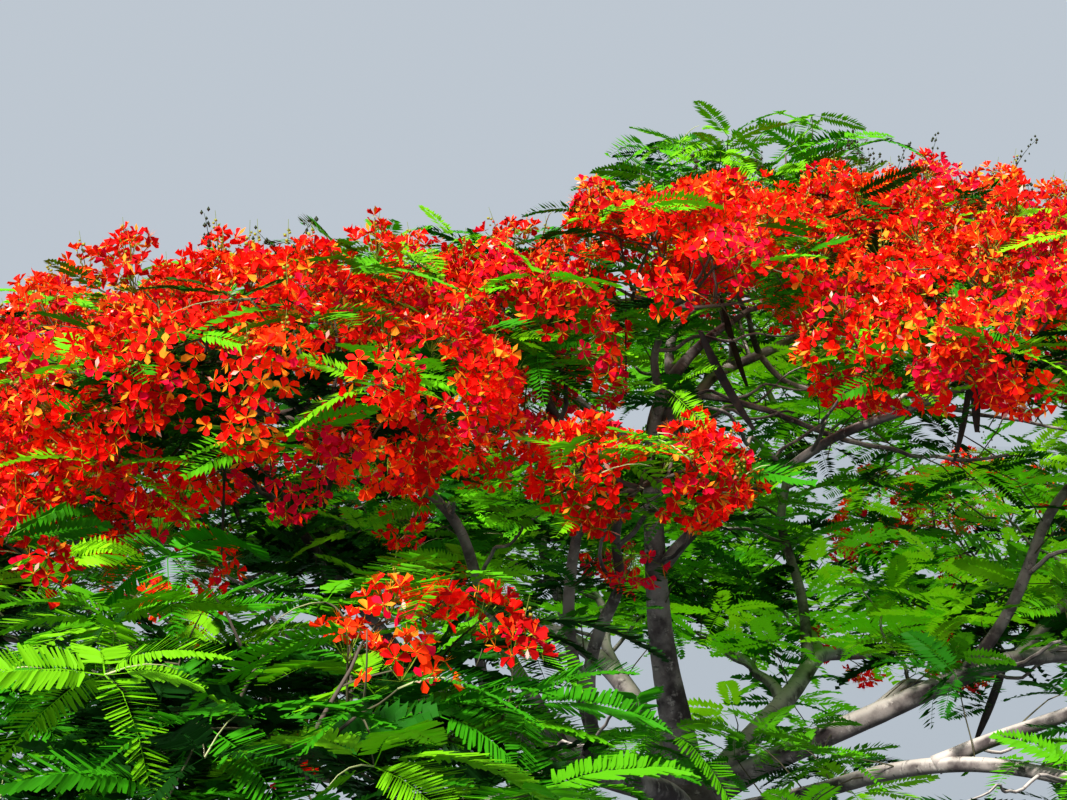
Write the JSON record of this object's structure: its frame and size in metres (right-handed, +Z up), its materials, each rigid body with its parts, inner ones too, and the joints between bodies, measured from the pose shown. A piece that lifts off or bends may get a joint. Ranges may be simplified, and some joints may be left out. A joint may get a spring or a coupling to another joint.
{
  "type": "flame tree",
  "caption": "Whole flame tree in bloom: short trunk with root flare, arching boughs, and a wide flat layered crown of scarlet blossom and feathery leaves.",
  "frame": {"origin": "middle of the flat cut under the trunk, at ground level", "axes": "+Z up along the trunk, and the picture looks along +Y, so +X is to its right"},
  "size_m": [10.9267, 10.9915, 5.6788],
  "materials": {
    "bark": "rough grey bark",
    "blossom": "matt scarlet petals",
    "leaves": "matt feathery leaves"
  },
  "bodies": {
    "root": {"blossom_back_left": "blossom", "blossom_back_right": "blossom", "blossom_cluster_front": "blossom", "blossom_cluster_left": "blossom", "blossom_crown_front": "blossom", "blossom_crown_low_right": "blossom", "blossom_crown_right": "blossom", "blossom_front_right": "blossom", "blossom_leader": "blossom", "blossom_left": "blossom", "blossom_right": "blossom", "blossom_rim_left_front": "blossom", "blossom_shoulder_back": "blossom", "blossom_shoulder_front_left": "blossom", "blossom_shoulder_left": "blossom", "blossom_shoulder_right": "blossom", "bough_back_left": "bark", "bough_back_right": "bark", "bough_cluster_front": "bark", "bough_cluster_left": "bark", "bough_crown_back": "bark", "bough_crown_front": "bark", "bough_crown_left": "bark", "bough_crown_low_right": "bark", "bough_crown_right": "bark", "bough_front_left": "bark", "bough_front_right": "bark", "bough_inner_back": "bark", "bough_inner_back_left": "bark", "bough_inner_left": "bark", "bough_inner_right": "bark", "bough_leader": "bark", "bough_left": "bark", "bough_right": "bark", "bough_rim_back": "bark", "bough_rim_left_back": "bark", "bough_rim_left_front": "bark", "bough_rim_right_back": "bark", "bough_rim_right_front": "bark", "bough_shoulder_back": "bark", "bough_shoulder_back_left": "bark", "bough_shoulder_front_left": "bark", "bough_shoulder_left": "bark", "bough_shoulder_left_back": "bark", "bough_shoulder_right": "bark", "leaves_crown_back": "leaves", "leaves_crown_left": "leaves", "leaves_front_left": "leaves", "leaves_inner_back": "leaves", "leaves_inner_back_left": "leaves", "leaves_inner_left": "leaves", "leaves_inner_right": "leaves", "leaves_rim_back": "leaves", "leaves_rim_left_back": "leaves", "leaves_rim_right_back": "leaves", "leaves_rim_right_front": "leaves", "leaves_shoulder_back_left": "leaves", "leaves_shoulder_left_back": "leaves", "trunk": "bark"}
  },
  "joints": []
}
